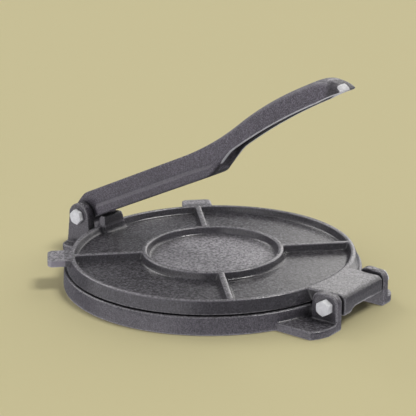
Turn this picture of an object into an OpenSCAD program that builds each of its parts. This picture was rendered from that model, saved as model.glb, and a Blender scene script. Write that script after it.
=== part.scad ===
// Tortilla press of cast iron, in millimetres.
// The pressing faces are horizontal, +X points to the plate hinge and the lever's fork is at -X.
// Z = 0 is the surface that the press stands on, and the origin is under the centre of the plates.

/* [Plates] */
// Radius of the top plate at its pressing face
plate_r = 103; // [100:0.5:106]
// Height of the top plate from its pressing face to its rim
plate_h = 9; // [8:0.25:11]
// Thickness of the top plate's floor inside the rim
floor_t = 3.6; // [3:0.1:4.5]
// Width of the rim's flat top
rim_w = 3.2; // [2.4:0.1:4.5]
// Outer radius of the ring in the middle of the top plate
hub_r = 49.8; // [40:0.5:60]
// Width of the flat top of the ring and the ribs
rib_w = 4.1; // [3:0.1:5.5]
// Reach of the base past the top plate
base_lip = 1.6; // [1.4:0.1:4]
// Height of the base's pressing face
base_h = 12.5; // [11:0.25:15]
// Thickness of the base under its pressing face
base_t = 4.2; // [3.5:0.1:6]
// Gap between the pressing faces when the press is closed
plate_gap = 0.6; // [0.4:0.1:1.2]

/* [Plate hinge] */
// Distance of the hinge axis from the top plate's edge
hinge_reach = 13.4; // [13:0.2:16]
// Height of the hinge axis
hinge_z = 15.9; // [15:0.1:17]
// Distance between the two hinge ears
hinge_gap = 50.4; // [46:0.2:58]
// Thickness of a hinge ear
hinge_ear_t = 6.2; // [5:0.2:8]
// Reach of the hinge ears round the hinge axis, upwards and outwards
hinge_ear_r = 8.1; // [7.5:0.1:9]
// Reach of the tongue's toe past the hinge axis
tongue_r = 8.1; // [7.6:0.1:8.8]
// Width of each of the tongue's two knuckles
knuckle_w = 10.5; // [8:0.5:14]
// Width of the foot beside the near hinge ear
near_foot_w = 20; // [14:0.5:24]
// Width of the foot beside the far hinge ear
far_foot_w = 11.5; // [8:0.5:24]

/* [Lever] */
// Distance of the lever's axis from the top plate's edge
fork_reach = 12.5; // [12:0.5:15]
// Height of the lever's axis
fork_z = 27; // [26:0.25:29]
// Distance between the two fork ears
fork_gap = 17.2; // [15.4:0.2:19]
// Thickness of a fork ear
fork_ear_t = 7.4; // [5.5:0.1:8.5]
// Radius of a fork ear round the lever's axis
fork_r = 9.7; // [9:0.1:10.5]
// Width of the foot beside each fork ear
fork_foot_w = 9; // [7:0.5:16]
// Width of the lever's upper part
web_w = 14.4; // [12:0.2:14.4]
// Width of the lever's lower band and of its grip
band_w = 20; // [18:0.5:23]
// Height of the lower band
band_h = 5.4; // [4:0.2:7]
// Wall of the hollow grip
grip_wall = 3.2; // [2.6:0.1:4]
// Slope of the lever's straight part
rise = 24.45; // [23.5:0.05:25.5]
// Length of the straight lower face, from the eye to the grip
press_l = 124.8; // [118:0.2:130]
// Width of the lug that the lever presses on
lug_w = 19.5; // [16:0.5:22]
// Thickness of the lug at its top
lug_t = 5.3; // [4.5:0.1:6.5]

/* [Bolts] */
// Diameter of both bolts
bolt_d = 6; // [5:0.5:6.5]
// Width across the flats of the heads and nuts
hex_af = 10; // [9:0.5:11]
// Height of the hinge bolt's head
hinge_head_h = 5; // [3:0.25:6]
// Height of the lever bolt's head
lever_head_h = 3.5; // [3:0.25:6]
// Height of a nut
nut_h = 5; // [4:0.25:6]
// Length of bolt that stands out of a nut
bolt_out = 2.5; // [1:0.25:5]

/* [Tabs] */
// Reach of the two tabs past the top plate's edge
tab_reach = 12.6; // [8:0.2:15]
// Width of a tab
tab_w = 22.5; // [16:0.5:26]
// Thickness of a tab
tab_t = 5; // [3.5:0.1:6]

/* [Clearances] */
// Running clearance round a bolt
bolt_play = 0.08; // [0.05:0.01:0.1]
// Clearance between iron pieces that move past each other
play = 0.4; // [0.3:0.05:0.6]
// Draft of the cast walls in degrees
draft = 12; // [8:1:15]

/* [Hidden] */
$fn = 96;
iron = [0.29, 0.28, 0.30];
zinc = [0.78, 0.78, 0.80];

base_r = plate_r + base_lip;
hinge_x = plate_r + hinge_reach;
fork_x = plate_r + fork_reach;
tab_r = plate_r + tab_reach;
plate_z = base_h + plate_gap;
rim_z = plate_z + plate_h;
floor_z = plate_z + floor_t;
rim_out = plate_r - 3;
rim_in = rim_out - rim_w;
bore_r = bolt_d/2 + bolt_play;
hinge_out = hinge_gap/2 + hinge_ear_t;
fork_out = fork_gap/2 + fork_ear_t;
fork_flare = 3.8;
foot_h = 5.5;
base_wall = 6;
ring_w = 5;

// Points of an arc from angle a to angle b
function arc(x, y, r, a, b, n) = [for (i = [0:n]) [x + r*cos(a + (b - a)*i/n), y + r*sin(a + (b - a)*i/n)]];

// Point at distance s on a path, a list of stretches that each have a length and a turn
function turned(p, h, l, turn, s) = turn == 0 ? p + s*[cos(h), sin(h)] :
    p + 360/PI*l/turn*sin(turn*s/l/2)*[cos(h + turn*s/l/2), sin(h + turn*s/l/2)];
function along(path, s, p, h, i = 0) = (i == len(path) - 1 || s <= path[i][0]) ?
    turned(p, h, path[i][0], path[i][1], s) :
    along(path, s - path[i][0], turned(p, h, path[i][0], path[i][1], path[i][0]), h + path[i][1], i + 1);

// The stretch of a circle of radius r that turns by an angle
function bend(r, turn) = [abs(turn)*r*PI/180, turn];

function mix(a, b, t) = a + (b - a)*t;
function ease(t) = t <= 0 ? 0 : t >= 1 ? 1 : t*t*(3 - 2*t);

// A ring round the Z axis with drafted walls and small fillets at its foot
module drafted_ring(r_in, r_out, z0, z1) {
    w = (z1 - z0)*tan(draft);
    rotate_extrude() polygon(concat(
        [[r_in - w - 2, z0 - 1.2], [r_in - w - 2, z0 - 0.6], [r_in - w, z0 + 0.6]],
        arc(r_in + 0.5, z1 - 0.5, 0.5, 180, 90, 3),
        arc(r_out - 0.5, z1 - 0.5, 0.5, 90, 0, 3),
        [[r_out + w, z0 + 0.6], [r_out + w + 2, z0 - 0.6], [r_out + w + 2, z0 - 1.2]]));
}

// A straight rib along X with drafted walls, with smaller fillets than the ring that it meets
module drafted_rib(x0, x1, w, z0, z1) {
    d = (z1 - z0)*tan(draft);
    translate([x0, 0, 0]) rotate([90, 0, 90]) linear_extrude(x1 - x0) polygon(concat(
        [[-w/2 - d - 1.6, z0 - 0.9], [-w/2 - d - 1.6, z0 - 0.5], [-w/2 - d, z0 + 0.45]],
        arc(-w/2 + 0.45, z1 - 0.45, 0.45, 180, 90, 3),
        arc(w/2 - 0.45, z1 - 0.45, 0.45, 90, 0, 3),
        [[w/2 + d, z0 + 0.45], [w/2 + d + 1.6, z0 - 0.5], [w/2 + d + 1.6, z0 - 0.9]]));
}

// A low foot beside an ear, with a straight outer edge that turns into a wide arc of radius r
module foot(x0, x1, y0, y1, r) {
    inset = 6.5;
    a = acos(1 - inset/r);
    linear_extrude(foot_h) difference() {
        polygon(concat(
            [[x0, y0], [x1, y0]],
            arc(x1 - r, y1 - r*sin(a), r, 0, a, 8),
            [[x0, y1]]));
        circle(base_r - base_wall/2);
    }
}

// One hinge ear, seen from the side, with rounded upper corners
module hinge_ear_face() {
    back = hinge_x - 10.8;
    front = hinge_x + hinge_ear_r;
    top = hinge_z + hinge_ear_r;
    difference() {
        polygon(concat(
            [[back - 1, 0], [front, 0]],
            arc(front - 6, top - 6.3, 6, 0, 80, 8),
            arc(back + 5, top - 5, 5, 90, 180, 8)));
        translate([hinge_x, hinge_z]) circle(bore_r);
    }
}

// One fork ear, seen from the side, round at the top and wider at its foot
module fork_ear_face() {
    difference() {
        polygon(concat(
            [[-fork_x - fork_r - fork_flare, 0], [-base_r, 0], [-base_r, base_h + 0.5]],
            arc(-fork_x, fork_z, fork_r, -8, 188, 24)));
        translate([-fork_x, fork_z]) circle(bore_r);
    }
}

module base_plate() {
    color(iron) union() {
            rotate_extrude($fn = 180) polygon(concat(
                [[0, base_h - base_t], [0, base_h]],
                arc(base_r - 0.8, base_h - 0.8, 0.8, 90, 0, 4),
                arc(base_r - 0.4, 1.2, 1.2, 0, -90, 4),
                [[base_r - base_wall, 0]],
                arc(base_r - base_wall - 3.5, base_h - base_t - 2, 2, 0, 90, 5)));
            cylinder(h = base_h - 1, r = 14);
            drafted_under_ring();
            for (a = [45:90:315])
                rotate([0, 0, a]) translate([0, 0, base_h]) mirror([0, 0, 1])
                    drafted_rib(8, base_r - base_wall/2, rib_w, base_t, base_h - 3);
            for (m = [0, 1]) mirror([0, m, 0]) {
                foot(hinge_x - 36, hinge_x + hinge_ear_r, hinge_gap/2 + 1,
                    hinge_out + (m == 0 ? far_foot_w : near_foot_w), m == 0 ? 13 : 25);
                translate([0, hinge_out, 0]) rotate([90, 0, 0]) linear_extrude(hinge_ear_t) hinge_ear_face();
                mirror([1, 0, 0])
                    foot(fork_x - 36, fork_x + fork_r + fork_flare, fork_gap/2 + 1, fork_out + fork_foot_w, 9);
                translate([0, fork_out, 0]) rotate([90, 0, 0]) linear_extrude(fork_ear_t) fork_ear_face();
            }
    }
}

// The ring under the base, hanging from its underside
module drafted_under_ring() {
    translate([0, 0, base_h]) mirror([0, 0, 1])
        drafted_ring(hub_r - ring_w, hub_r, base_t, base_h - 2);
}

// A tab on the rim, with rounded outer corners
module tab() {
    translate([0, 0, rim_z - 0.1 - tab_t]) linear_extrude(tab_t) {
        translate([rim_in + 1, -tab_w/2]) square([tab_r - rim_in - 5, tab_w]);
        translate([rim_in + 1, -tab_w/2 + 4]) square([tab_r - rim_in - 1, tab_w - 8]);
        for (s = [-1, 1]) translate([tab_r - 4, s*(tab_w/2 - 4)]) circle(4);
    }
}

// The lug stands on the rim under the lever's nose, its top just clear of the lever's lower face
lug_front = plate_r - 9;
lower_eye_r = 8.5;
press_drop = lower_eye_r*(sin(7.5) + cos(7.5)*tan(rise));
lug_top = fork_z - press_drop + (fork_x - lug_front - lug_t + 0.4)*tan(rise) - play;
module lug() {
    intersection() {
        translate([0, 40, 0]) rotate([90, 0, 0]) linear_extrude(80) polygon(concat(
            [[-lug_front - lug_t - 1.8, rim_z - 5], [-lug_front - lug_t - 1.8, rim_z]],
            arc(-lug_front - lug_t + 1, lug_top - 1, 1, 180, 90, 4),
            arc(-lug_front - 1.5, lug_top - 1.5, 1.5, 90, 0, 4),
            [[-lug_front + 1.6, floor_z + 1.5], [-lug_front + 3.7, floor_z - 0.5], [-lug_front + 3.7, floor_z - 1.3]]));
        translate([-120, 0, 0]) rotate([90, 0, 90]) linear_extrude(40) polygon(concat(
            [[-lug_w/2 - 1.6, floor_z - 1], [lug_w/2 + 1.6, floor_z - 1]],
            arc(lug_w/2 - 1.5, lug_top - 1.5, 1.5, 0, 90, 4),
            arc(-lug_w/2 + 1.5, lug_top - 1.5, 1.5, 90, 180, 4)));
        cylinder(h = 60, r = plate_r - 1);
    }
}

// The tongue, seen from the side: flat on top, turned down over the hinge axis to a square toe
module tongue_face() {
    toe = hinge_x + tongue_r;
    low = hinge_z - tongue_r + 0.4;
    polygon(concat(
        [[rim_in + 1, plate_z + 0.6], [rim_in + 1, rim_z]],
        arc(toe - 4.5, rim_z - 4.5, 4.5, 90, 0, 8),
        arc(toe - 1.4, low + 1.4, 1.4, 0, -90, 4),
        arc(hinge_x - 3.4, low + 3.4, 3.4, -90, -170, 6),
        [[base_r + 1.2, plate_z + 0.6], [plate_r - 1.5, plate_z + 0.6]]));
}

module tongue() {
    half = hinge_gap/2 - play;
    arch_z = hinge_z - bore_r - 1.6;
    difference() {
        intersection() {
            translate([0, 40, 0]) rotate([90, 0, 0]) linear_extrude(80) tongue_face();
            linear_extrude(60) polygon([[rim_in - 5, -half], [rim_out + 4, -half + 0.8],
                [hinge_x + tongue_r + 1, -half + 3], [hinge_x + tongue_r + 1, half - 1.6],
                [rim_out + 4, half - 0.8], [rim_in - 5, half]]);
        }
        // The underside is arched between two knuckles
        translate([plate_r + play, 0, 0]) rotate([90, 0, 90]) linear_extrude(40) polygon(concat(
            [[-half + knuckle_w, -1]],
            arc(-half + knuckle_w + 5, arch_z - 5, 5, 180, 90, 6),
            arc(half - knuckle_w - 5, arch_z - 5, 5, 90, 0, 6),
            [[half - knuckle_w, -1]]));
        // The far knuckle stays behind the toe
        translate([hinge_x + bore_r + 1.8, 0, -1]) cube([tongue_r, half + 1, arch_z + 0.6]);
        translate([hinge_x, 60, hinge_z]) rotate([90, 0, 0]) cylinder(h = 120, r = bore_r);
    }
}

module top_plate() {
    color(iron) union() {
        rotate_extrude($fn = 180) polygon(concat(
            [[0, plate_z]],
            arc(plate_r - 0.7, plate_z + 0.7, 0.7, -90, 0, 3),
            arc(rim_out - 1, rim_z - 1, 1, 15, 90, 4),
            arc(rim_in + 0.6, rim_z - 0.6, 0.6, 90, 165, 3),
            arc(rim_in - 1.2 - 1.4, floor_z + 1.4, 1.4, -15, -90, 4),
            [[0, floor_z]]));
        drafted_ring(hub_r - rib_w + 0.6, hub_r, floor_z, rim_z);
        for (a = [45:90:315]) rotate([0, 0, a]) drafted_rib(hub_r - 1, rim_in + 1, rib_w, floor_z, rim_z - 0.1);
        for (a = [135, 225]) rotate([0, 0, a]) tab();
        lug();
        tongue();
    }
}

// The lever's upper outline, from the back of its eye over the grip to the tip
eye_r = 12;
upper_l = press_l - 21.6;
upper = [bend(eye_r, -60), [7, 0], bend(eye_r, rise - 50), [upper_l, 0], bend(225, 14.6), bend(250, -13.5),
    [13.2, 0], bend(20, -63), bend(5, -40)];
upper_start = [-fork_x + eye_r*cos(200), fork_z + eye_r*sin(200)];
upper_heading = 110;
// The lever's lower outline, from the back of its eye along the pressing face to the tip
lower_eye = bend(lower_eye_r, 137.5);
lower = [[press_l, 0], bend(5, 27.5), [20, 0], bend(25, -15), bend(407, -11.6), [16, 0]];
lower_start = [-fork_x + lower_eye_r*cos(-7.5), fork_z + lower_eye_r*sin(-7.5)];

// Pairs of distances along the two outlines whose points face each other, and the steps to the next
eye_top = bend(eye_r, 60)[0] + 7 + bend(eye_r, 50 - rise)[0];
grip_top = eye_top + upper_l;
bays = [
    [0, -lower_eye[0], 8],
    [eye_top, 0, 2],
    [eye_top + 5.5, 5.5, 5],
    [eye_top + 8, 8, 2],
    [eye_top + 13, 13, 4],
    [grip_top, press_l - 22.4, 6],
    [grip_top + 30.8, press_l + 2.2, 9],
    [grip_top + 56.2, press_l + 38.6, 8],
    [grip_top + 115.5, press_l + 98, 3],
    [grip_top + 128.7, press_l + 111.7, 7],
    [grip_top + 150.3, press_l + 125.7, 3],
    [grip_top + 153.8, press_l + 127.4, 1]];
function facing(u) = let (i = floor(u), t = u - i, a = bays[i], b = bays[min(i + 1, len(bays) - 1)])
    [mix(a[0], b[0], t), mix(a[1], b[1], t)];
function top_of(u) = along(upper, facing(u)[0], upper_start, upper_heading);
function foot_of(u) = facing(u)[1] < 0 ?
    let (a = -7.5 + facing(u)[1]/lower_eye_r*180/PI) [-fork_x + lower_eye_r*cos(a), fork_z + lower_eye_r*sin(a)] :
    along(lower, facing(u)[1], lower_start, rise);
stations = [for (i = [0:len(bays) - 2]) for (k = [0:bays[i][2] - 1]) i + k/bays[i][2], len(bays) - 1];

// Half widths of the upper part and of the lower band, the band's height and the top's rounding
function upper_w(u) = mix(web_w/2, band_w/2 - 0.6, ease((u - 5)/2));
function lower_w(u) = mix(web_w/2, band_w/2, sqrt(1 - pow(1 - max(0, min(1, u - 2)), 2)));
function ridge_h(u) = mix(band_h, 1.6, ease((u - 5.9)/1.1));
function crown_r(u) = mix(2.4, 4.5, ease((u - 5)/2)) + 2.5*ease((u - 9)/1.2);
function foot_round(u) = 0.9 + 1.8*ease((u - 5.7)/0.4)*ease((6.9 - u)/0.5);

// Half of the lever's cross-section at station u, from the foot to the top, d high
function half_section(u, d) = let (w = upper_w(u), v = max(lower_w(u), w), k = v - w,
        h = min(ridge_h(u), d/3), c = min(foot_round(u), h*0.6), r = min(crown_r(u), d - h - 1.3*k - 0.6)) concat(
    arc(v - c, c, c, -90, 0, 2),
    [[v, h], [v - 0.15*k, h + 0.3*k + 0.1], [w + 0.15*k, h + 0.95*k + 0.2], [w, h + 1.2*k + 0.4]],
    arc(w - r, d - r, r, 0, 90, 5));
function section(u) = let (p = foot_of(u), q = top_of(u), d = norm(q - p), n = (q - p)/d,
        h = half_section(u, d), m = len(h)) concat(
    [for (k = [0:m - 1]) [p[0] + n[0]*h[k][1], -h[k][0], p[1] + n[1]*h[k][1]]],
    [for (k = [m - 1:-1:0]) [p[0] + n[0]*h[k][1], h[k][0], p[1] + n[1]*h[k][1]]]);

// Half of the hollow's cross-section under the grip
function hollow_half(u, d, t) = let (w = band_w/2 - grip_wall, top = mix(1.5, d - grip_wall - 0.3, ease(t))) concat(
    [[w + 0.2, -3]], arc(w - 2.6, max(top, 1.2) - 2, 2, 0, 90, 4));
function hollow_section(u, t) = let (p = foot_of(u), q = top_of(u), d = norm(q - p), n = (q - p)/d,
        h = hollow_half(u, d, t), m = len(h)) concat(
    [for (k = [0:m - 1]) [p[0] + n[0]*h[k][1], -h[k][0], p[1] + n[1]*h[k][1]]],
    [for (k = [m - 1:-1:0]) [p[0] + n[0]*h[k][1], h[k][0], p[1] + n[1]*h[k][1]]]);

// A closed skin over a list of rings that have the same number of points
module skin(rings) {
    n = len(rings[0]);
    m = len(rings);
    polyhedron(
        points = [for (r = rings) each r],
        faces = concat(
            [[for (k = [n - 1:-1:0]) k]],
            [[for (k = [0:n - 1]) (m - 1)*n + k]],
            [for (i = [0:m - 2]) for (k = [0:n - 1]) each [
                [i*n + k, (i + 1)*n + (k + 1) % n, (i + 1)*n + k],
                [i*n + k, i*n + (k + 1) % n, (i + 1)*n + (k + 1) % n]]]),
        convexity = 6);
}

module lever() {
    color(iron) difference() {
        skin([for (u = stations) section(u)]);
        skin([for (i = [0:18]) let (u = mix(6.1, 10.0, i/18)) hollow_section(u, i/3)]);
        translate([-fork_x, 30, fork_z]) rotate([90, 0, 0]) cylinder(h = 60, r = bore_r);
    }
}

// A hexagon bar end with both rims of its corners turned off
module hexagon(h) {
    r = hex_af/2/cos(30);
    intersection() {
        cylinder(h = h, r = r, $fn = 6);
        union() {
            cylinder(h = h - 0.8, r = r + 1);
            translate([0, 0, h - 0.8]) cylinder(h = 0.8, r1 = r + 0.1, r2 = hex_af/2 - 0.1);
        }
    }
}

// A bolt along +Y from the outer side of the near ear, through a grip of length l, with a head of height h
module bolt(l, h) {
    rotate([-90, 0, 0]) {
        cylinder(h = l + nut_h + bolt_out - 0.6, r = bolt_d/2);
        translate([0, 0, l + nut_h + bolt_out - 0.6]) cylinder(h = 0.6, r1 = bolt_d/2, r2 = bolt_d/2 - 0.6);
    }
    rotate([90, 0, 0]) hexagon(h);
}

module nut() {
    rotate([-90, 0, 0]) difference() {
        hexagon(nut_h);
        translate([0, 0, -1]) cylinder(h = nut_h + 2, r = bore_r);
    }
}

module hinge_bolt() {
    color(zinc) translate([hinge_x, -hinge_out, hinge_z]) bolt(2*hinge_out, hinge_head_h);
}

module hinge_nut() {
    color(zinc) translate([hinge_x, hinge_out, hinge_z]) nut();
}

module lever_bolt() {
    color(zinc) translate([-fork_x, -fork_out, fork_z]) bolt(2*fork_out, lever_head_h);
}

module lever_nut() {
    color(zinc) translate([-fork_x, fork_out, fork_z]) nut();
}

base_plate();
top_plate();
lever();
hinge_bolt();
hinge_nut();
lever_bolt();
lever_nut();
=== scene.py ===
# Tortilla press of bare cast iron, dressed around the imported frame.
# Every length is in metres, with +X towards the plate hinge and +Z up.
import math

import bmesh
import bpy
import numpy as np
from mathutils import Matrix, Vector


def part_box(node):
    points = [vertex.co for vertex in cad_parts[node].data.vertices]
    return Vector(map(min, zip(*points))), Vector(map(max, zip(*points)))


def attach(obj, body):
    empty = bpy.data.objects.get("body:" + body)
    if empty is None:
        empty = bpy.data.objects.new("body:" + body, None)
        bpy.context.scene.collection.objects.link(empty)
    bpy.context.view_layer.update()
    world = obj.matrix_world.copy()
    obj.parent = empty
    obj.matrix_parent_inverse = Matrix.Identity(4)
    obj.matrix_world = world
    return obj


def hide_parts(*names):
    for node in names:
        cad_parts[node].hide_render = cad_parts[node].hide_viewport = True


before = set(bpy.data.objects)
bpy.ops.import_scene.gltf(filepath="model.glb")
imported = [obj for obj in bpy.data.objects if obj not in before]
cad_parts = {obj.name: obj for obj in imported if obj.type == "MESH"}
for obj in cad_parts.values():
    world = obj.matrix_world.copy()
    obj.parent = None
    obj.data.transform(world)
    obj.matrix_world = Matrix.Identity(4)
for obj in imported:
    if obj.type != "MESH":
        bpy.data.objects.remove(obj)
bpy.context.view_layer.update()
scene = bpy.context.scene

# The photographer's view: a long lens in front of the hinge side, a little above the table.
# The turn, the height and the small tilt were fitted to the plates' outlines in the photo.
# The aim is a point over the middle of the plates, and the camera's place is given from it.
VIEW_TURN = math.radians(38.76)
VIEW_HEIGHT = math.radians(17.73)
VIEW_TILT = math.radians(0.72)
AIM = Vector((0, 0, 0.020))
AIM_TO_RIGHT = 0.0033
AIM_ABOVE = -0.02991
AIM_AHEAD = 0.89922
LENS_MM = 110.49
SENSOR_MM = 36
NEAREST_SEEN = 0.01

right = Vector((math.cos(VIEW_TURN), math.sin(VIEW_TURN), 0))
ahead = Vector((-math.sin(VIEW_TURN) * math.cos(VIEW_HEIGHT),
                math.cos(VIEW_TURN) * math.cos(VIEW_HEIGHT), -math.sin(VIEW_HEIGHT)))
above = right.cross(ahead)
tilted_right = math.cos(VIEW_TILT) * right - math.sin(VIEW_TILT) * above
tilted_above = math.sin(VIEW_TILT) * right + math.cos(VIEW_TILT) * above
camera_place = AIM - AIM_TO_RIGHT * tilted_right - AIM_ABOVE * tilted_above - AIM_AHEAD * ahead
camera_turn = Matrix((tilted_right, tilted_above, -ahead)).transposed().to_4x4()
camera_data = bpy.data.cameras.new("photo_view")
camera_data.sensor_fit = "HORIZONTAL"
camera_data.sensor_width = SENSOR_MM
camera_data.lens = LENS_MM
camera_data.clip_start = NEAREST_SEEN
camera_data.dof.use_dof = False
camera = bpy.data.objects.new("photo_view", camera_data)
camera.matrix_world = Matrix.Translation(camera_place) @ camera_turn
scene.collection.objects.link(camera)
scene.camera = camera

# The table: one flat sheet of pale khaki paper, far wider than the view. It isn't part of the press.
# The press in the photo has no khaki light on it, so the paper isn't mirrored in it, throws no light
# on it and holds back none from below.
PAPER = (0.666, 0.608, 0.355)
PAPER_HALF = 3.0
PAPER_ROUGHNESS = 0.95
PAPER_GLOSS = 0.05


def new_finish(name):
    """A new material, its node tree and its shader."""
    material = bpy.data.materials.new(name)
    material.use_nodes = True
    return material, material.node_tree, material.node_tree.nodes["Principled BSDF"]


paper_corners = [(x * PAPER_HALF, y * PAPER_HALF, 0) for x, y in ((-1, -1), (1, -1), (1, 1), (-1, 1))]
paper_mesh = bpy.data.meshes.new("studio_paper")
paper_mesh.from_pydata(paper_corners, [], [(0, 1, 2, 3)])
paper_material, _, paper_shader = new_finish("studio_paper")
paper_shader.inputs["Base Color"].default_value = (*PAPER, 1)
paper_shader.inputs["Roughness"].default_value = PAPER_ROUGHNESS
paper_shader.inputs["Specular IOR Level"].default_value = PAPER_GLOSS
paper_mesh.materials.append(paper_material)
paper = bpy.data.objects.new("studio_paper", paper_mesh)
scene.collection.objects.link(paper)
paper.visible_diffuse = False
paper.visible_glossy = False
paper.visible_shadow = False

# The studio light: large lamps far away, so that the paper is lit evenly, in a dim pale room.
# One stands high and draws the thin lights along the fillets, two stand behind, and a very wide one
# stands low in front. The last lies below, and is the bounce of a white table.
ROOM = (0.79, 0.79, 0.83)
ROOM_STRENGTH = 0.24
world = bpy.data.worlds.new("studio_room")
world.use_nodes = True
world.node_tree.nodes["Background"].inputs["Color"].default_value = (*ROOM, 1)
world.node_tree.nodes["Background"].inputs["Strength"].default_value = ROOM_STRENGTH
scene.world = world
scene.view_settings.view_transform = "Standard"


def far_lamp(name, towards, width, strength, tint):
    """A round studio lamp far away in one direction, as wide in the sky as an angle in degrees."""
    data = bpy.data.lights.new(name, "SUN")
    data.angle = math.radians(width)
    data.energy = strength
    data.color = tint
    lamp = bpy.data.objects.new(name, data)
    lamp.rotation_euler = (-Vector(towards)).to_track_quat("-Z", "Y").to_euler()
    scene.collection.objects.link(lamp)


far_lamp("high_lamp", towards=(0.46, 0.19, 0.87), width=22, strength=1.25, tint=(1.0, 0.985, 0.955))
far_lamp("wide_back_lamp", towards=(-0.02, 0.90, 0.36), width=64, strength=1.15, tint=(1.0, 0.98, 0.95))
far_lamp("left_back_lamp", towards=(-0.75, 0.15, 0.64), width=28, strength=0.50, tint=(1.0, 0.985, 0.97))
far_lamp("front_fill_lamp", towards=(-0.40, -0.89, 0.20), width=90, strength=0.95, tint=(1.0, 0.98, 0.98))
far_lamp("table_bounce", towards=(0.05, -0.10, -0.99), width=140, strength=1.7, tint=(1.0, 0.97, 0.99))

# The lower plate: one sand casting of bare grey iron with hinge ears, fork ears and low feet.
# It is left as cast: soft edges, a sandy skin, and edges worn brighter in the tumbling barrel,
# with a painted highlight on them in part.
BASE_TINT = (0.97, 0.97, 0.95)
BASE_FILM = 0.55

# The fine mesh of a casting: the size of its cells, the passes that soften and round its edges, and
# the share of a cell by which a point on a full edge stands out
CELL = 0.0007
MERGE_WITHIN = 2e-6
SOFT_PASSES = 3
ROUNDING_PASSES = 240
ROUNDING_LEVELS = 10
EDGE_BEND = 0.10
MOST_TRIANGLES = 190000

# The colours of the iron: its sandy skin, its worn edges and faces with painted highlights, its
# painted shade, its ground metal with painted highlights, and the cool painted tint of its walls
IRON_DARK = (0.032, 0.030, 0.036)
IRON_MIDDLE = (0.096, 0.091, 0.106)
IRON_LIGHT = (0.215, 0.204, 0.234)
IRON_RUBBED_AND_HIGHLIT = (0.46, 0.45, 0.48)
IRON_WORN_AND_HIGHLIT = (0.42, 0.405, 0.435)
IRON_PAINTED_SHADE = (0.008, 0.008, 0.009)
IRON_BARE_AND_HIGHLIT = (0.86, 0.86, 0.88)
WALL_PAINTED_TINT = (0.93, 0.90, 0.97)

# The fineness of the skin's patterns, in marks to a metre, and the depth of its relief
FINE_GRAIN = 1500.0
SAND_GRAIN = 560.0
PITS = 520.0
CLOUDS = 26.0
SKIN_DEPTH = 0.0009
OIL_DEPTH = 0.0003
# How far the painted shade in the gaps reaches
GAP_SHADE_REACH = 0.010

# A face counts as level from the first of these heights of its normal, and fully from the second
LEVEL_FROM = 0.55
LEVEL_TO = 0.9

# The gloss of the iron and of the oil on it
IRON_METAL = 0.40
IRON_GLOSS = 0.55
IRON_DULL = 0.54
IRON_SHINY = 0.38
OIL_ROUGHNESS = 0.10
OIL_IOR = 1.8

# How strongly worn edges, painted highlights and painted shade cover the skin, where they cover it most
EDGE_RUBBING_AND_HIGHLIGHT = 0.5
FACE_PAINTED_HIGHLIGHT = 0.5
INSIDE_PAINTED_SHADE = 0.8
FILLET_PAINTED_SHADE = 0.4


def points_of(mesh):
    """The places and the outward directions of a mesh's points."""
    count = len(mesh.vertices)
    spots = np.empty(count * 3, np.float32)
    mesh.vertices.foreach_get("co", spots)
    normals = np.empty(count * 3, np.float32)
    mesh.vertices.foreach_get("normal", normals)
    return spots.reshape(-1, 3), normals.reshape(-1, 3)


def settled(piece):
    """The mesh that a piece's modifiers give, with the modifiers taken off."""
    bpy.context.view_layer.update()
    shown = piece.evaluated_get(bpy.context.evaluated_depsgraph_get())
    mesh = bpy.data.meshes.new_from_object(shown)
    mesh.name = piece.name
    piece.modifiers.clear()
    return mesh


def merged_copy(node, name):
    """A new object with the mesh of a CAD node, its loose triangles joined along their edges."""
    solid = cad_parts[node].data.copy()
    work = bmesh.new()
    work.from_mesh(solid)
    bmesh.ops.remove_doubles(work, verts=work.verts, dist=MERGE_WITHIN)
    work.to_mesh(solid)
    work.free()
    piece = bpy.data.objects.new(name, solid)
    scene.collection.objects.link(piece)
    return piece


def smoothed(piece, passes, group=""):
    """A piece's mesh after some passes of smoothing, on all its points or on a vertex group."""
    smooth = piece.modifiers.new("smoothing", "SMOOTH")
    smooth.factor = 0.5
    smooth.iterations = passes
    smooth.vertex_group = group
    return settled(piece)


def round_over(piece, shares):
    """Rounds a piece further where its points' shares say so."""
    group = piece.vertex_groups.new(name="rounded")
    levels = np.round(shares * ROUNDING_LEVELS)
    for level in range(1, ROUNDING_LEVELS + 1):
        group.add(np.nonzero(levels == level)[0].tolist(), level / ROUNDING_LEVELS, "REPLACE")
    piece.data = smoothed(piece, ROUNDING_PASSES, "rounded")
    piece.vertex_groups.clear()


def write_mark(mesh, name, values):
    """Stores one number for each point of a mesh under a name that a material can read."""
    attribute = mesh.attributes.new(name, "FLOAT", "POINT")
    attribute.data.foreach_set("value", values.astype(np.float32))


def mark_edges(mesh, cell):
    """Writes how convex the surface is at each point to the mark edge, from -1 to 1."""
    spots, normals = points_of(mesh)
    count = len(spots)
    pairs = np.empty(len(mesh.edges) * 2, np.int32)
    mesh.edges.foreach_get("vertices", pairs)
    pairs = pairs.reshape(-1, 2)
    links = np.bincount(pairs.ravel(), minlength=count).astype(np.float32)

    def around(values):
        total = np.bincount(pairs[:, 0], values[pairs[:, 1]], count)
        total += np.bincount(pairs[:, 1], values[pairs[:, 0]], count)
        return total / links

    bend = np.zeros(count)
    for axis in range(3):
        bend += (spots[:, axis] - around(spots[:, axis])) * normals[:, axis]
    for _ in range(2):
        bend = 0.5 * bend + 0.5 * around(bend)
    write_mark(mesh, "edge", np.clip(bend / (EDGE_BEND * cell), -1, 1))


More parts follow.
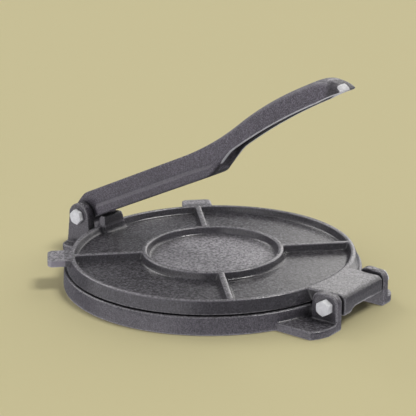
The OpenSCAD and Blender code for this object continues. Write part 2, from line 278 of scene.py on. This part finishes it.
def cast_copy(node, name, cell, rounding=None, shape=None, marks=None):
    """A copy of a casting's solid with soft cast edges, as one fine closed mesh in the same place.

    rounding gives each point's share of an extra rounding, shape moves the points, and marks gives
    the piece's own marks for its material, beside the mark edge that every casting has."""
    piece = merged_copy(node, name)
    remesh = piece.modifiers.new("sand_mould", "REMESH")
    remesh.mode = "VOXEL"
    remesh.voxel_size = cell
    remesh.use_smooth_shade = True
    piece.data = smoothed(piece, SOFT_PASSES)
    if rounding is not None:
        round_over(piece, rounding(points_of(piece.data)[0]))
    mesh = piece.data
    if shape is not None:
        mesh.vertices.foreach_set("co", shape(points_of(mesh)[0]).ravel())
        mesh.update()
    mark_edges(mesh, cell)
    if marks is not None:
        for mark, values in marks(*points_of(mesh)).items():
            write_mark(mesh, mark, values)
    triangles = 2 * len(mesh.polygons)
    if triangles > MOST_TRIANGLES:
        thin = piece.modifiers.new("fewer_faces", "DECIMATE")
        thin.ratio = MOST_TRIANGLES / triangles
        piece.data = settled(piece)
    piece.data.shade_smooth()
    piece.data.materials.clear()
    return piece


def add(tree, kind, inputs=None, **settings):
    """A node with its settings, and its inputs given as values or as other nodes' outputs."""
    node = tree.nodes.new(kind)
    for key, value in settings.items():
        setattr(node, key, value)
    for key, value in (inputs or {}).items():
        if isinstance(value, bpy.types.NodeSocket):
            tree.links.new(value, node.inputs[key])
        else:
            node.inputs[key].default_value = value
    return node


def number(tree, how, *values):
    """What a sum gives on numbers or on other nodes' outputs."""
    return add(tree, "ShaderNodeMath", dict(enumerate(values)), operation=how).outputs[0]


def span(tree, value, low, high, to_low=0.0, to_high=1.0):
    """A value stretched from one range to another and held inside it."""
    return add(tree, "ShaderNodeMapRange", {
        "Value": value, "From Min": low, "From Max": high,
        "To Min": to_low, "To Max": to_high}).outputs["Result"]


def noise(tree, spot, scale, detail, roughness=0.5):
    """A cloudy pattern with so many marks to a metre."""
    return add(tree, "ShaderNodeTexNoise", {
        "Vector": spot, "Scale": scale, "Detail": detail, "Roughness": roughness}).outputs["Fac"]


def mark_of(tree, name):
    """The mark that a piece's points carry under a name, and 0 where they carry none."""
    return add(tree, "ShaderNodeAttribute", attribute_name=name).outputs["Fac"]


def ramp(tree, value, stops):
    """A colour ramp through (position, colour) stops."""
    node = add(tree, "ShaderNodeValToRGB", {"Fac": value})
    band = node.color_ramp
    while len(band.elements) < len(stops):
        band.elements.new(0.5)
    for element, (position, colour) in zip(band.elements, stops):
        element.position = position
        element.color = (*colour, 1)
    return node.outputs["Color"]


def blend_colour(tree, share, first, second):
    """Two colours mixed by a share. A colour is given as three numbers or as a node's output."""
    first, second = ((*colour, 1) if isinstance(colour, tuple) else colour for colour in (first, second))
    return add(tree, "ShaderNodeMix", {"Factor": share, "A": first, "B": second},
               data_type="RGBA").outputs[2]


def blend_value(tree, share, first, second):
    """Two values mixed by a share."""
    return add(tree, "ShaderNodeMix", {"Factor": share, "A": first, "B": second}).outputs["Result"]


def shaded(tree, colour, strength):
    """A colour made darker or lighter by a number."""
    return add(tree, "ShaderNodeVectorMath", {0: colour, "Scale": strength}, operation="SCALE").outputs[0]


def relief(tree, socket, height, depth, strength):
    """Bumps of a depth in metres on a shader's normal or coat normal."""
    bump = add(tree, "ShaderNodeBump", {"Height": height, "Distance": depth, "Strength": strength})
    tree.links.new(bump.outputs["Normal"], socket)


def cast_iron(name, film, tint=(1.0, 1.0, 1.0), wear_and_shade=None):
    """Grey cast iron, thinly oiled: sandy skin, pits, painted shade in gaps, worn edges with painted
    highlights.

    film is how much of the skin is oily, and the last argument puts a piece's own worn faces and painted
    shade on its colour. The mark inside says where the skin gets painted shade, and two more marks where
    it gets painted highlights and ground metal with painted highlights."""
    material, tree, shader = new_finish(name)
    place = add(tree, "ShaderNodeTexCoord").outputs
    spot = place["Object"]
    facing = add(tree, "ShaderNodeSeparateXYZ", {"Vector": place["Normal"]}).outputs["Z"]
    level = span(tree, facing, LEVEL_FROM, LEVEL_TO)
    edge = mark_of(tree, "edge")
    grain = noise(tree, spot, FINE_GRAIN, 2.0, 0.6)
    sand = noise(tree, spot, SAND_GRAIN, 3.0, 0.75)
    cloud = noise(tree, spot, CLOUDS, 3.0)
    pits = add(tree, "ShaderNodeTexVoronoi", {"Vector": spot, "Scale": PITS}).outputs["Distance"]

    # The skin: a sandy speckle over slow clouds, coarser where it lies level, with painted shade in
    # fillets
    sandy = span(tree, level, 0.0, 1.0, 0.3, 0.85)
    speckle = span(tree, blend_value(tree, sandy, grain, sand), 0.38, 0.62)
    clouded = span(tree, number(tree, "MULTIPLY_ADD", cloud, 0.45, speckle), 0.1, 1.3)
    shades = zip((0.0, 0.5, 1.0), (IRON_DARK, IRON_MIDDLE, IRON_LIGHT))
    colour = ramp(tree, clouded, [
        (position, tuple(part * share for part, share in zip(shade, tint))) for position, shade in shades])
    # Painted shade: concave fillets are darkened towards the darkest skin
    fillet_shade = span(tree, edge, -0.15, -0.9, 0.0, FILLET_PAINTED_SHADE)
    colour = blend_colour(tree, fillet_shade, colour, IRON_DARK)
    if wear_and_shade is not None:
        colour = wear_and_shade(tree, spot, colour)

    # Level faces show their speckle more, walls get a cooler painted tint that stands in for the light's
    # colour on them, and every outer edge is worn bright, with a painted highlight in part
    strength = blend_value(tree, level, 1.0, number(tree, "MULTIPLY_ADD", speckle, 1.3, 0.35))
    colour = shaded(tree, colour, strength)
    wall_painted_tint = blend_colour(tree, level, WALL_PAINTED_TINT, (1.0, 1.0, 1.0))
    colour = add(tree, "ShaderNodeVectorMath", {0: colour, 1: wall_painted_tint}, operation="MULTIPLY").outputs[0]
    # Convex edges are worn bright, broken by the grain, and in part this is a painted highlight
    rubbing = span(tree, number(tree, "MULTIPLY", edge, grain), 0.30, 0.52, 0.0, EDGE_RUBBING_AND_HIGHLIGHT)
    colour = blend_colour(tree, rubbing, colour, IRON_RUBBED_AND_HIGHLIT)

    # Painted shade darkens the gaps and the places marked inside; painted highlights and ground metal
    # with painted highlights are bright
    open_air = add(tree, "ShaderNodeAmbientOcclusion", {"Distance": GAP_SHADE_REACH}, samples=6).outputs["AO"]
    colour = blend_colour(tree, span(tree, open_air, 0.28, 0.78, 0.05, 1.0), IRON_PAINTED_SHADE, colour)
    inside = span(tree, mark_of(tree, "inside"), 0.0, 1.0, 0.0, INSIDE_PAINTED_SHADE)
    colour = blend_colour(tree, inside, colour, IRON_PAINTED_SHADE)
    # Painted highlights on the lever's ledge and crown
    painted_highlight = span(tree, mark_of(tree, "painted_highlight"), 0.0, 1.0, 0.0, FACE_PAINTED_HIGHLIGHT)
    colour = blend_colour(tree, painted_highlight, colour, IRON_WORN_AND_HIGHLIT)
    # Ground metal and painted highlights on the marked lips and gate stub
    nibbled = number(tree, "MULTIPLY_ADD", sand, 0.8, mark_of(tree, "bare_and_highlit"))
    colour = blend_colour(tree, span(tree, nibbled, 0.85, 1.05), colour, IRON_BARE_AND_HIGHLIT)
    tree.links.new(colour, shader.inputs["Base Color"])

    # Gloss: a dull metal under a film of oil, with the sand's grains and pits as its relief
    tree.links.new(span(tree, sand, 0.35, 0.65, IRON_DULL, IRON_SHINY), shader.inputs["Roughness"])
    shader.inputs["Metallic"].default_value = IRON_METAL
    shader.inputs["Specular IOR Level"].default_value = IRON_GLOSS
    shader.inputs["Coat Weight"].default_value = film
    shader.inputs["Coat Roughness"].default_value = OIL_ROUGHNESS
    shader.inputs["Coat IOR"].default_value = OIL_IOR
    coarse = number(tree, "MULTIPLY_ADD", sand, 1.2, grain)
    pitted = number(tree, "MULTIPLY_ADD", span(tree, pits, 0.0, 0.4), 0.5, coarse)
    relief(tree, shader.inputs["Normal"], pitted, SKIN_DEPTH, 1.0)
    relief(tree, shader.inputs["Coat Normal"], sand, OIL_DEPTH, 0.5)
    return material


base = cast_copy("base_plate", "base_casting", CELL)
base.data.materials.append(cast_iron("base_cast_iron", BASE_FILM, BASE_TINT))
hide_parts("base_plate")
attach(base, "base")

# The upper plate: a second iron casting with a raised rim, a ring, four ribs, two tabs and a lug.
# It lies on the lower plate with its tongue between the hinge ears. It is left as cast: its floor
# keeps a dark scale, with a painted shade that grows darker towards the hinge; its raised faces, its
# middle and its tabs are worn brighter; and the lug's front under the lever carries a painted shadow.
PLATE_FILM = 0.8

# The scale on the floor, and the places along X between which a painted shade makes it darker towards the
# hinge
FLOOR_SHADE = 0.60
HINGE_SIDE_PAINTED_SHADE = 0.72 * FLOOR_SHADE
PAINTED_SHADE_FROM = 0.02
PAINTED_SHADE_TO = 0.08

# The worn faces: all above a height, the middle inside a radius, and the tabs outside another
RAISED_FROM = 0.0210
RAISED_TO = 0.0216
RAISED_RUBBING = 0.36
MIDDLE_R = 0.047
MIDDLE_FADE = 0.012
TABS_FROM = 0.1035
TABS_TO = 0.1045
FLAT_RUBBING = 0.85
TONGUE_FROM = 0.06
TONGUE_TO = 0.07

# The lug, from its front at this distance from the middle, above its foot
LUG_FROM = 0.090
LUG_TO = 0.092
LUG_FOOT = 0.0222
LUG_PAINTED_SHADOW = 0.8
FADE = 0.001


def plate_wear_and_shade(tree, spot, colour):
    """The plate's colour: dark floor, painted shade darker towards the hinge, raised faces, middle and
    tabs worn.
    """
    across = add(tree, "ShaderNodeSeparateXYZ", {"Vector": spot}).outputs
    # Painted shade: the colour grows darker along X towards the hinge
    colour = shaded(tree, colour, span(
        tree, across["X"], PAINTED_SHADE_FROM, PAINTED_SHADE_TO, FLOOR_SHADE, HINGE_SIDE_PAINTED_SHADE))
    flat_spot = add(tree, "ShaderNodeCombineXYZ", {"X": across["X"], "Y": across["Y"]}).outputs["Vector"]
    reach = add(tree, "ShaderNodeVectorMath", {0: flat_spot}, operation="LENGTH").outputs["Value"]
    raised = span(tree, across["Z"], RAISED_FROM, RAISED_TO, 0.0, RAISED_RUBBING)
    middle = span(tree, reach, MIDDLE_R, MIDDLE_R - MIDDLE_FADE, 0.0, FLAT_RUBBING)
    outside = span(tree, reach, TABS_FROM, TABS_TO, 0.0, FLAT_RUBBING)
    on_tab = number(tree, "MULTIPLY", outside, span(tree, across["X"], TONGUE_TO, TONGUE_FROM))
    rubbing = number(tree, "MAXIMUM", number(tree, "MAXIMUM", raised, middle), on_tab)
    return blend_colour(tree, rubbing, colour, IRON_WORN_AND_HIGHLIT)


def eased(values, low, high):
    """A smooth step from 0 at low to 1 at high."""
    share = np.clip((values - low) / (high - low), 0, 1)
    return share * share * (3 - 2 * share)


def lug_marks(spots, normals):
    """The lug's front, which the lever covers, is given a painted shadow."""
    on_lug = eased(-spots[:, 0], LUG_FROM, LUG_TO) * eased(spots[:, 2], LUG_FOOT, LUG_FOOT + FADE)
    return {"inside": LUG_PAINTED_SHADOW * on_lug * eased(normals[:, 0], 0.3, 0.7)}


plate = cast_copy("top_plate", "upper_casting", CELL, marks=lug_marks)
plate.data.materials.append(cast_iron("plate_cast_iron", PLATE_FILM, wear_and_shade=plate_wear_and_shade))
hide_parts("top_plate")
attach(plate, "upper_plate")

# The lever: a third iron casting, solid over the plate and hollow under the curved grip.
# It turns on its bolt in the fork. Its lips carry a painted highlight, and the stub of its gate at the tip
# is ground metal with a painted highlight in part. Its grip is well rounded, its ledge and crown carry
# painted highlights, and its hollow, heel and tip's end carry painted shade.
LEVER_CELL = 0.0005
LEVER_FILM = 0.3
LEVER_TINT = (1.62, 1.61, 1.57)
SLAB = 0.002

# The rounding of the grip's back and tip, and the nose's narrowing, from these places along X
BACK_ROUNDING = 0.8
TIP_ROUNDING = 0.6
TIP_FROM = 0.090
TIP_TO = 0.100
NOSE_FROM = 0.086
NOSE_NARROWING = 0.12

# The grip's hollow side from its heel on: the lips' inner edges and the hollow between them
GRIP_FROM = 0.012
GRIP_TO = 0.018
LIP_FROM = 0.0068
LIP_TO = 0.0073
HOLLOW_HALF = 0.0072

# The tip's end: the ground stub between two places across it, and the painted shade round it
STUB_FROM = 0.1050
STUB_TO = 0.1064
STUB_NEAR = -0.0098
STUB_FAR = 0.0018
TIP_SHADE_FROM = 0.0970
TIP_SHADE_TO = 0.1015
TIP_PAINTED_SHADE = 0.85

# The shank's ledge ends here
SHANK_TO = 0.02


def height_share(spots):
    """How high each point lies between the lever's lower and upper side at its own x, from 0 to 1."""
    slab = np.floor((spots[:, 0] - spots[:, 0].min()) / SLAB).astype(int)
    lowest = np.full(slab.max() + 1, np.inf)
    highest = np.full(slab.max() + 1, -np.inf)
    np.minimum.at(lowest, slab, spots[:, 2])
    np.maximum.at(highest, slab, spots[:, 2])
    return (spots[:, 2] - lowest[slab]) / np.maximum(highest[slab] - lowest[slab], 1e-6)


def rounded_grip(spots):
    """The grip's back and the whole tip are rounded more than the rest."""
    along = spots[:, 0]
    back = BACK_ROUNDING * eased(height_share(spots), 0.40, 0.70) * eased(along, -0.010, 0.030)
    return np.maximum(back, TIP_ROUNDING * eased(along, TIP_FROM, TIP_TO))


def round_nose(spots):
    """The tip narrows to a round nose as seen from above."""
    along = spots[:, 0]
    share = np.clip((along - NOSE_FROM) / (along.max() - NOSE_FROM), 0, 1)
    spots[:, 1] *= np.sqrt(1 - NOSE_NARROWING * share * share)
    return spots


def lever_marks(spots, normals):
    """Painted highlights on lips, ledge and crown, the ground, highlit stub, and painted shade in hollow,
    heel and tip.
    """
    along = spots[:, 0]
    across = spots[:, 1]
    off_middle = np.abs(across)
    high = height_share(spots)
    forwards = normals[:, 0]
    sideways = normals[:, 1]
    upwards = normals[:, 2]
    down = eased(-upwards, 0.25, 0.50)
    on_grip = eased(along, GRIP_FROM, GRIP_TO)

    # Bright metal: a painted highlight along the two lips beside the hollow, and the gate's ground stub on
    # the tip's end, with a painted highlight on it in part
    lip_highlight = down * on_grip * eased(off_middle, LIP_FROM, LIP_TO) * eased(0.45 - high, 0.0, 0.1)
    stub = (eased(along, STUB_FROM, STUB_TO) * eased(across, STUB_NEAR, STUB_NEAR + FADE)
            * eased(STUB_FAR - across, 0.0, FADE) * eased(forwards, 0.15, 0.35))

    # Painted shade: on the hollow's walls and ceiling, on the heel in front of the lips, and on the tip's
    # end
    inward = eased(-sideways * np.sign(across), 0.3, 0.6)
    hollow = on_grip * np.maximum(inward, down) * eased(HOLLOW_HALF - off_middle, 0.0, 0.0004)
    heel = (eased(forwards, 0.1, 0.4) * down * eased(along, -0.01, 0.0)
            * eased(0.5 - high, 0.0, 0.1) * (1 - lip_highlight))
    tip_end_shade = TIP_PAINTED_SHADE * eased(along, TIP_SHADE_FROM, TIP_SHADE_TO) * (1 - stub)

    # Painted highlights: on the ledge along the shank, and on the crown of the grip
    ledge = (eased(upwards, 0.35, 0.50) * eased(np.abs(sideways), 0.3, 0.45)
             * eased(0.7 - high, 0.0, 0.1) * eased(SHANK_TO - along, 0.0, 0.01))
    crown = eased(upwards, 0.25, 0.70) * eased(along, -0.005, 0.020) * (1 - tip_end_shade)
    return {"bare_and_highlit": np.maximum(lip_highlight, stub), "painted_highlight": np.maximum(ledge, crown),
            "inside": np.maximum(np.maximum(hollow, heel), tip_end_shade)}


lever = cast_copy("lever", "lever_casting", LEVER_CELL, rounded_grip, round_nose, lever_marks)
lever.data.materials.append(cast_iron("lever_cast_iron", LEVER_FILM, LEVER_TINT))
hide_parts("lever")
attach(lever, "lever")

# The two bolts: zinc plated steel with hexagon heads, pushed through the ears from the near side.
# Their rolled M6 threads, a turn a millimetre, stand out of the nuts behind the far ears.
# The six sides of the heads carry a painted shade.

# The zinc: its colour, its clouds in marks to a metre, its relief, its gloss and the painted shade of the
# heads' sides
ZINC = (0.97, 0.98, 1.0)
CLOUDY_ZINC = 0.84
ZINC_CLOUDS = 420.0
ZINC_DEPTH = 0.0001
ZINC_SHINY = 0.30
ZINC_DULL = 0.48
ZINC_METAL = 0.08
HEAD_SIDE_PAINTED_SHADE = 0.16

# The shank and the root of its thread, with the taper between them and the bevel at the bolt's end
SHANK_R = 0.003
ROOT_R = 0.00245
THREADED = 0.0125
RUN_OUT = 0.0006
POINT = 0.0004

# The thread's ridge: its foot sunk into the root, and its ends short of the threaded length's ends
PITCH = 0.001
RIDGE_SUNK = 0.0001
THREAD_START = 0.0008
THREAD_STOP = 0.0006
TURN_STEPS = 32
RIDGE_SIDES = 4

# The head: the share of its flats that its round crown takes, the shallow dish in it and its chamfer
CROWN_SHARE = 0.95
DISH_SHARE = 0.86
DISH = 0.00012
CHAMFER = math.radians(30)
FLATS = 6
ROUND_STEPS = 72
SHARP_FROM = math.radians(25)
UPRIGHT_WITHIN = 0.2


def zinc(name, shade=1.0):
    """Zinc plating, a little cloudy and uneven, bright or with a painted shade."""
    material, tree, shader = new_finish(name)
    spot = add(tree, "ShaderNodeTexCoord").outputs["Object"]
    cloud = noise(tree, spot, ZINC_CLOUDS, 4.0, 0.6)
    cloudy = tuple(CLOUDY_ZINC * shade * part for part in ZINC)
    clear = tuple(shade * part for part in ZINC)
    tree.links.new(ramp(tree, cloud, [(0.35, cloudy), (0.65, clear)]), shader.inputs["Base Color"])
    tree.links.new(span(tree, cloud, 0.3, 0.7, ZINC_SHINY, ZINC_DULL), shader.inputs["Roughness"])
    shader.inputs["Metallic"].default_value = ZINC_METAL
    relief(tree, shader.inputs["Normal"], cloud, ZINC_DEPTH, 0.25)
    return material


def thread_tree(material):
    """Geometry Nodes that lay a rolled thread's ridge round the end of a bolt that lies along Y."""
    tree = bpy.data.node_groups.new("rolled_thread", "GeometryNodeTree")
    tree.interface.new_socket("Geometry", in_out="OUTPUT", socket_type="NodeSocketGeometry")
    tree.interface.new_socket("Geometry", in_out="INPUT", socket_type="NodeSocketGeometry")
    for label in ("Ridge Radius", "Ridge Half Width", "Pitch", "Length"):
        tree.interface.new_socket(label, in_out="INPUT", socket_type="NodeSocketFloat")
    tree.interface.new_socket("Start", in_out="INPUT", socket_type="NodeSocketVector")
    given = tree.nodes.new("NodeGroupInput").outputs
    helix = add(tree, "GeometryNodeCurveSpiral", {
        "Resolution": TURN_STEPS, "Rotations": number(tree, "DIVIDE", given["Length"], given["Pitch"]),
        "Start Radius": given["Ridge Radius"], "End Radius": given["Ridge Radius"],
        "Height": given["Length"]}).outputs["Curve"]
    upright = add(tree, "GeometryNodeSetCurveNormal", {"Curve": helix}, mode="Z_UP").outputs["Curve"]
    ridge = add(tree, "GeometryNodeCurvePrimitiveCircle", {
        "Resolution": RIDGE_SIDES, "Radius": given["Ridge Half Width"]}).outputs["Curve"]
    swept = add(tree, "GeometryNodeCurveToMesh", {
        "Curve": upright, "Profile Curve": ridge, "Fill Caps": True}).outputs["Mesh"]
    along_y = add(tree, "GeometryNodeTransform", {
        "Geometry": swept, "Translation": given["Start"],
        "Rotation": (-math.pi / 2, 0, 0)}).outputs["Geometry"]
    joined = tree.nodes.new("GeometryNodeJoinGeometry")
    tree.links.new(given["Geometry"], joined.inputs[0])
    tree.links.new(along_y, joined.inputs[0])
    whole = add(tree, "GeometryNodeRealizeInstances", {"Geometry": joined.outputs[0]}).outputs[0]
    plated = add(tree, "GeometryNodeSetMaterial", {"Geometry": whole, "Material": material}).outputs[0]
    tree.links.new(plated, tree.nodes.new("NodeGroupOutput").inputs[0])
    return tree


def ring_of(work, centre, along, radii, turn):
    """A closed ring of points round an axis along Y, with one place and radius or one for each point."""
    points = []
    for k in range(ROUND_STEPS):
        angle = 2 * math.pi * k / ROUND_STEPS + turn
        radius = radii if isinstance(radii, float) else radii[k]
        depth = along if isinstance(along, float) else along[k]
        points.append(work.verts.new((
            centre[0] + radius * math.cos(angle), depth, centre[1] + radius * math.sin(angle))))
    return points


def hexagon_radii(half):
    """How far a hexagon reaches in each step of a turn, from half its width across the flats."""
    flat = 2 * math.pi / FLATS
    angles = [(2 * math.pi * k / ROUND_STEPS + flat / 2) % flat - flat / 2 for k in range(ROUND_STEPS)]
    return [half / math.cos(angle) for angle in angles]


def bolt_mesh(name, centre, head_end, seat, tip, half, turn):
    """A hexagon bolt along Y as a closed mesh: chamfered head, shank, and the root of its thread."""
    corners = hexagon_radii(half)
    crown_r = half * CROWN_SHARE
    chamfer = [head_end + (corner - crown_r) * math.tan(CHAMFER) for corner in corners]
    profile = [
        (head_end + DISH, crown_r * DISH_SHARE), (head_end, crown_r), (chamfer, corners), (seat, corners),
        (seat, SHANK_R), (tip - THREADED, SHANK_R), (tip - THREADED + RUN_OUT, ROOT_R),
        (tip - POINT, ROOT_R), (tip, ROOT_R - POINT)]
    work = bmesh.new()
    rings = [ring_of(work, centre, along, radii, turn) for along, radii in profile]
    for first, second in zip(rings, rings[1:]):
        for k in range(ROUND_STEPS):
            after = (k + 1) % ROUND_STEPS
            work.faces.new((first[k], first[after], second[after], second[k]))
    work.faces.new(rings[0])
    work.faces.new(rings[-1])
    bmesh.ops.recalc_face_normals(work, faces=work.faces)
    mesh = bpy.data.meshes.new(name)
    work.to_mesh(mesh)
    work.free()
    return mesh


def add_thread(piece, tree, centre, tip):
    """Lays the thread's ridge on the end of a bolt and makes both one plain mesh."""
    threads = piece.modifiers.new("rolled_thread", "NODES")
    threads.node_group = tree
    length = THREADED - THREAD_START - THREAD_STOP
    values = {
        "Ridge Radius": ROOT_R + RIDGE_SUNK, "Ridge Half Width": SHANK_R - ROOT_R - RIDGE_SUNK,
        "Pitch": PITCH, "Length": length, "Start": (centre[0], tip - THREAD_STOP - length, centre[1])}
    for item in tree.interface.items_tree:
        if item.in_out == "INPUT" and item.name in values:
            threads[item.identifier] = values[item.name]
    piece.data = settled(piece)


def bolt(node, name, across_flats, head_height, turn):
    """A hexagon bolt in the place of a CAD bolt, its head's corners turned by an angle."""
    low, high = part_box(node)
    centre = ((low[0] + high[0]) / 2, (low[2] + high[2]) / 2)
    head_end = low[1]
    seat = head_end + head_height
    tip = high[1]
    mesh = bolt_mesh(name, centre, head_end, seat, tip, across_flats / 2, turn)
    piece = bpy.data.objects.new(name, mesh)
    scene.collection.objects.link(piece)
    add_thread(piece, threads_of_bolt, centre, tip)
    # The heads' six sides take the second plating, with its painted shade
    piece.data.materials.append(side_shade_plating)
    for face in piece.data.polygons:
        if head_end < face.center.y < seat and abs(face.normal.y) < UPRIGHT_WITHIN:
            face.material_index = 1
    piece.data.shade_smooth()
    piece.data.set_sharp_from_angle(angle=SHARP_FROM)
    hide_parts(node)
    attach(piece, "base")


zinc_plating = zinc("zinc_plating")
side_shade_plating = zinc("zinc_plating_with_painted_shade", HEAD_SIDE_PAINTED_SHADE)
threads_of_bolt = thread_tree(zinc_plating)
bolt("hinge_bolt", "hinge_bolt_steel", across_flats=0.0092, head_height=0.005, turn=0.0)
bolt("lever_bolt", "lever_bolt_steel", across_flats=0.010, head_height=0.0035, turn=math.radians(15))

# The nuts: zinc plated steel, tight against the far ears, where they hold the two bolts.
# They are the CAD nuts with the bolts' plating.
for node in ("hinge_nut", "lever_nut"):
    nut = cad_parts[node]
    nut.data.materials.clear()
    nut.data.materials.append(zinc_plating)
